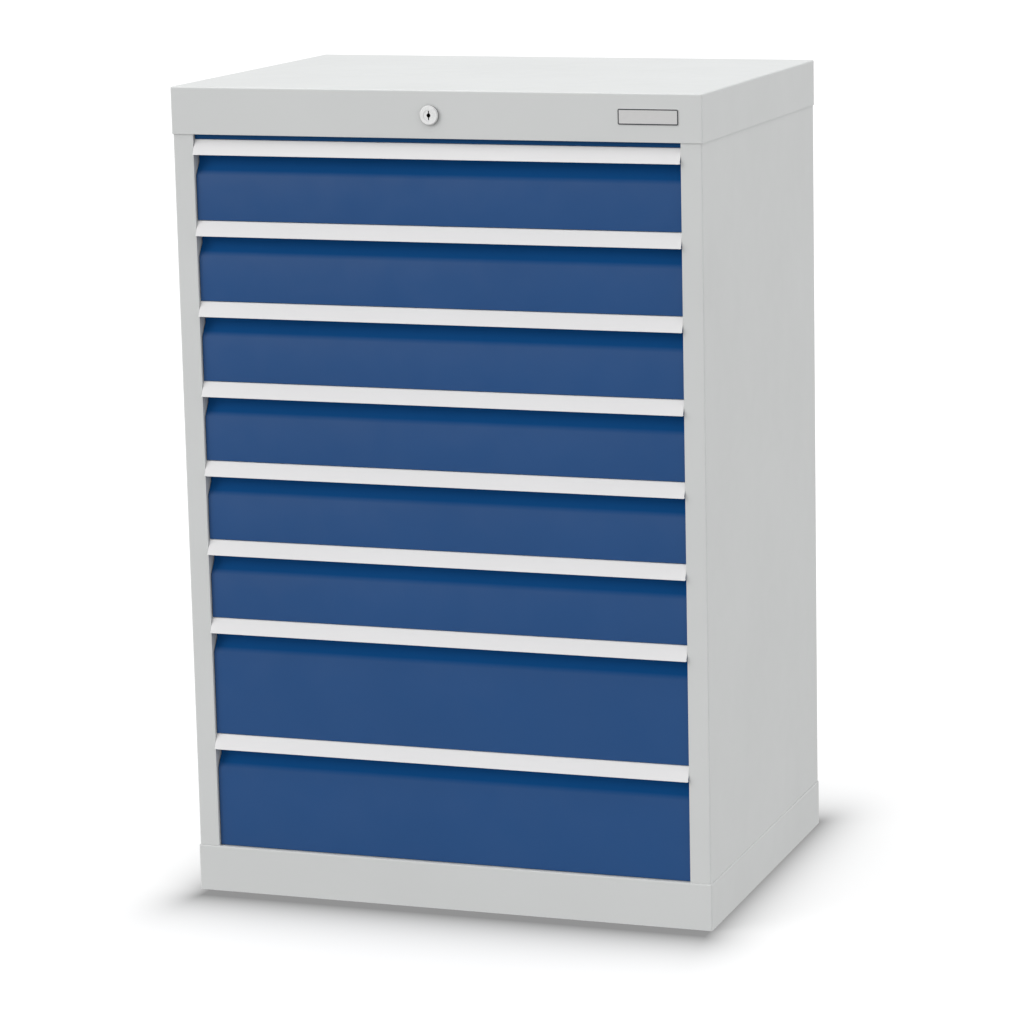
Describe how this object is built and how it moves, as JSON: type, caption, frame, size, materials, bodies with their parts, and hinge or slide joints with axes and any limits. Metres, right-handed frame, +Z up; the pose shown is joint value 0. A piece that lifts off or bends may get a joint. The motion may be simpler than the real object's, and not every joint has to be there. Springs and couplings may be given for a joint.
{
  "type": "drawer cabinet",
  "caption": "Floor-standing sheet steel cabinet with stacked full-extension drawers, strip handles along their fronts and one central lock in the header.",
  "frame": {"origin": "middle of the cabinet's outer box, handles included, on the floor", "axes": "+Z up, +X to the right seen from the front, +Y from the front to the back"},
  "size_m": [0.68, 0.4958, 1.019],
  "materials": {
    "body_paint": "light grey powder coat, fine texture, satin",
    "front_paint": "gentian blue powder coat, satin",
    "handle_coat": "pale grey coated aluminium profile, smooth satin",
    "box_paint": "light grey powder coat",
    "zinc_steel": "zinc plated steel",
    "screw_steel": "zinc plated screws",
    "roller_plastic": "off-white acetal",
    "lock_nickel": "satin nickel plate",
    "plate_metal": "bare satin plate"
  },
  "bodies": {
    "carcass": {"top_cover": "body_paint", "base_plinth": "body_paint", "side_panels": "body_paint", "back_panel": "body_paint", "slotted_uprights": "zinc_steel", "cabinet_rails": "zinc_steel", "fasteners": "screw_steel", "lock_housing": "lock_nickel", "name_plate": "plate_metal"},
    "lock": {"lock_cylinder": "lock_nickel", "lock_shaft": "zinc_steel"},
    "lock_bar": {"locking_bar": "zinc_steel"},
    "drawer_1": {"drawer_1_box": "box_paint", "drawer_1_front": "front_paint", "drawer_1_handle": "handle_coat", "drawer_1_rails": "zinc_steel"},
    "middle_1": {"middle_1_rails": "zinc_steel", "middle_1_rollers": "roller_plastic"},
    "drawer_2": {"drawer_2_box": "box_paint", "drawer_2_front": "front_paint", "drawer_2_handle": "handle_coat", "drawer_2_rails": "zinc_steel"},
    "middle_2": {"middle_2_rails": "zinc_steel", "middle_2_rollers": "roller_plastic"},
    "drawer_3": {"drawer_3_box": "box_paint", "drawer_3_front": "front_paint", "drawer_3_handle": "handle_coat", "drawer_3_rails": "zinc_steel"},
    "middle_3": {"middle_3_rails": "zinc_steel", "middle_3_rollers": "roller_plastic"},
    "drawer_4": {"drawer_4_box": "box_paint", "drawer_4_front": "front_paint", "drawer_4_handle": "handle_coat", "drawer_4_rails": "zinc_steel"},
    "middle_4": {"middle_4_rails": "zinc_steel", "middle_4_rollers": "roller_plastic"},
    "drawer_5": {"drawer_5_box": "box_paint", "drawer_5_front": "front_paint", "drawer_5_handle": "handle_coat", "drawer_5_rails": "zinc_steel"},
    "middle_5": {"middle_5_rails": "zinc_steel", "middle_5_rollers": "roller_plastic"},
    "drawer_6": {"drawer_6_box": "box_paint", "drawer_6_front": "front_paint", "drawer_6_handle": "handle_coat", "drawer_6_rails": "zinc_steel"},
    "middle_6": {"middle_6_rails": "zinc_steel", "middle_6_rollers": "roller_plastic"},
    "drawer_7": {"drawer_7_box": "box_paint", "drawer_7_front": "front_paint", "drawer_7_handle": "handle_coat", "drawer_7_rails": "zinc_steel"},
    "middle_7": {"middle_7_rails": "zinc_steel", "middle_7_rollers": "roller_plastic"},
    "drawer_8": {"drawer_8_box": "box_paint", "drawer_8_front": "front_paint", "drawer_8_handle": "handle_coat", "drawer_8_rails": "zinc_steel"},
    "middle_8": {"middle_8_rails": "zinc_steel", "middle_8_rollers": "roller_plastic"}
  },
  "joints": [
    {"name": "lock_turn", "type": "hinge", "parent": "carcass", "child": "lock", "pos_m": [-0.0015, -0.24415, 0.989], "axis": [0, 1, 0], "range_deg": [0, 90]},
    {"name": "bar_slide", "type": "slide", "parent": "carcass", "child": "lock_bar", "axis": [0, 0, -1], "range_m": [0, 0.01202]},
    {"name": "drawer_1_slide", "type": "slide", "parent": "carcass", "child": "drawer_1", "axis": [0, -1, 0], "range_m": [0, 0.4]},
    {"name": "middle_1_slide", "type": "slide", "parent": "carcass", "child": "middle_1", "axis": [0, -1, 0], "range_m": [0, 0.2]},
    {"name": "drawer_2_slide", "type": "slide", "parent": "carcass", "child": "drawer_2", "axis": [0, -1, 0], "range_m": [0, 0.4]},
    {"name": "middle_2_slide", "type": "slide", "parent": "carcass", "child": "middle_2", "axis": [0, -1, 0], "range_m": [0, 0.2]},
    {"name": "drawer_3_slide", "type": "slide", "parent": "carcass", "child": "drawer_3", "axis": [0, -1, 0], "range_m": [0, 0.4]},
    {"name": "middle_3_slide", "type": "slide", "parent": "carcass", "child": "middle_3", "axis": [0, -1, 0], "range_m": [0, 0.2]},
    {"name": "drawer_4_slide", "type": "slide", "parent": "carcass", "child": "drawer_4", "axis": [0, -1, 0], "range_m": [0, 0.4]},
    {"name": "middle_4_slide", "type": "slide", "parent": "carcass", "child": "middle_4", "axis": [0, -1, 0], "range_m": [0, 0.2]},
    {"name": "drawer_5_slide", "type": "slide", "parent": "carcass", "child": "drawer_5", "axis": [0, -1, 0], "range_m": [0, 0.4]},
    {"name": "middle_5_slide", "type": "slide", "parent": "carcass", "child": "middle_5", "axis": [0, -1, 0], "range_m": [0, 0.2]},
    {"name": "drawer_6_slide", "type": "slide", "parent": "carcass", "child": "drawer_6", "axis": [0, -1, 0], "range_m": [0, 0.4]},
    {"name": "middle_6_slide", "type": "slide", "parent": "carcass", "child": "middle_6", "axis": [0, -1, 0], "range_m": [0, 0.2]},
    {"name": "drawer_7_slide", "type": "slide", "parent": "carcass", "child": "drawer_7", "axis": [0, -1, 0], "range_m": [0, 0.4]},
    {"name": "middle_7_slide", "type": "slide", "parent": "carcass", "child": "middle_7", "axis": [0, -1, 0], "range_m": [0, 0.2]},
    {"name": "drawer_8_slide", "type": "slide", "parent": "carcass", "child": "drawer_8", "axis": [0, -1, 0], "range_m": [0, 0.4]},
    {"name": "middle_8_slide", "type": "slide", "parent": "carcass", "child": "middle_8", "axis": [0, -1, 0], "range_m": [0, 0.2]}
  ],
  "couplings": [
    {"joint": "lock_turn", "follows": "bar_slide", "rad_per_m": 130.67},
    {"joint": "middle_1_slide", "follows": "drawer_1_slide", "ratio": 0.5},
    {"joint": "middle_2_slide", "follows": "drawer_2_slide", "ratio": 0.5},
    {"joint": "middle_3_slide", "follows": "drawer_3_slide", "ratio": 0.5},
    {"joint": "middle_4_slide", "follows": "drawer_4_slide", "ratio": 0.5},
    {"joint": "middle_5_slide", "follows": "drawer_5_slide", "ratio": 0.5},
    {"joint": "middle_6_slide", "follows": "drawer_6_slide", "ratio": 0.5},
    {"joint": "middle_7_slide", "follows": "drawer_7_slide", "ratio": 0.5},
    {"joint": "middle_8_slide", "follows": "drawer_8_slide", "ratio": 0.5}
  ]
}
